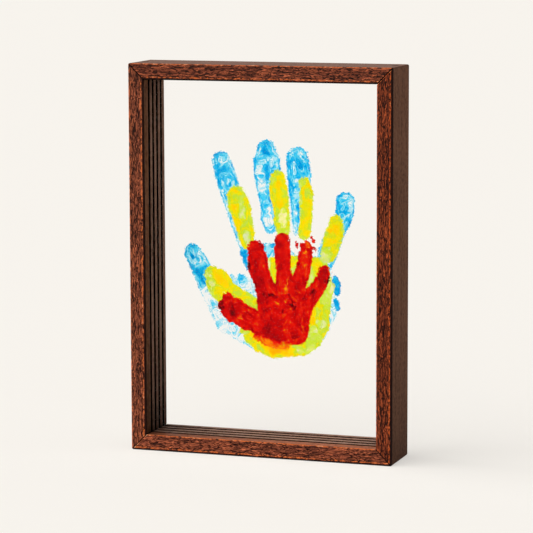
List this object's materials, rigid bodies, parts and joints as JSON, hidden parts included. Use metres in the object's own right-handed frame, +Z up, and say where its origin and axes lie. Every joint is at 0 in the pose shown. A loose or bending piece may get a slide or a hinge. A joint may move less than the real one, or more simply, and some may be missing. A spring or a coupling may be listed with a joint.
{
  "type": "handprint display frame",
  "caption": "Free-standing deep wooden frame with inner grooves that hold clear sheets, painted with overlapping handprints; the top rail unscrews and lifts so that the sheets slide out.",
  "frame": {"origin": "centre of the base, on the surface that the frame stands on", "axes": "+Z up the frame's height, +X to the right seen from the front, front face towards -Y"},
  "size_m": [0.21, 0.045, 0.3],
  "materials": {
    "stained_wood": "reddish-brown stain, coarse open grain on the faces, satin",
    "nail_steel": "bright hardened strip",
    "bronzed_screw": "dark bronze, satin",
    "clear_acrylic": "clear, polished",
    "red_paint": "dried craft paint, slightly glossy",
    "yellow_paint": "dried craft paint, slightly glossy",
    "blue_paint": "thin dried craft paint, streaky"
  },
  "bodies": {
    "frame": {"left_stile": "stained_wood", "right_stile": "stained_wood", "bottom_rail": "stained_wood", "v_nails_left": "nail_steel", "v_nails_right": "nail_steel"},
    "top_rail": {"top_rail": "stained_wood"},
    "left_screw": {"top_screw_left": "bronzed_screw"},
    "right_screw": {"top_screw_right": "bronzed_screw"},
    "front_sheet": {"front_clear_sheet": "clear_acrylic"},
    "red_sheet": {"red_print_sheet": "clear_acrylic", "red_handprint": "red_paint"},
    "yellow_sheet": {"yellow_print_sheet": "clear_acrylic", "yellow_handprint": "yellow_paint"},
    "blue_sheet": {"blue_print_sheet": "clear_acrylic", "blue_handprint": "blue_paint"}
  },
  "joints": [
    {"name": "top_rail_lift", "type": "slide", "parent": "frame", "child": "top_rail", "axis": [0, 0, 1], "range_m": [0, 0.33]},
    {"name": "left_screw_out", "type": "slide", "parent": "top_rail", "child": "left_screw", "axis": [0, 0, 1], "range_m": [0, 0.027]},
    {"name": "right_screw_out", "type": "slide", "parent": "top_rail", "child": "right_screw", "axis": [0, 0, 1], "range_m": [0, 0.027]},
    {"name": "front_sheet_slide", "type": "slide", "parent": "frame", "child": "front_sheet", "axis": [0, 0, 1], "range_m": [0, 0.3]},
    {"name": "red_sheet_slide", "type": "slide", "parent": "frame", "child": "red_sheet", "axis": [0, 0, 1], "range_m": [0, 0.3]},
    {"name": "yellow_sheet_slide", "type": "slide", "parent": "frame", "child": "yellow_sheet", "axis": [0, 0, 1], "range_m": [0, 0.3]},
    {"name": "blue_sheet_slide", "type": "slide", "parent": "frame", "child": "blue_sheet", "axis": [0, 0, 1], "range_m": [0, 0.3]}
  ],
  "couplings": [
    {"joint": "front_sheet_slide", "follows": "top_rail_lift", "ratio": 0.9},
    {"joint": "red_sheet_slide", "follows": "top_rail_lift", "ratio": 0.9},
    {"joint": "yellow_sheet_slide", "follows": "top_rail_lift", "ratio": 0.9},
    {"joint": "blue_sheet_slide", "follows": "top_rail_lift", "ratio": 0.9}
  ]
}
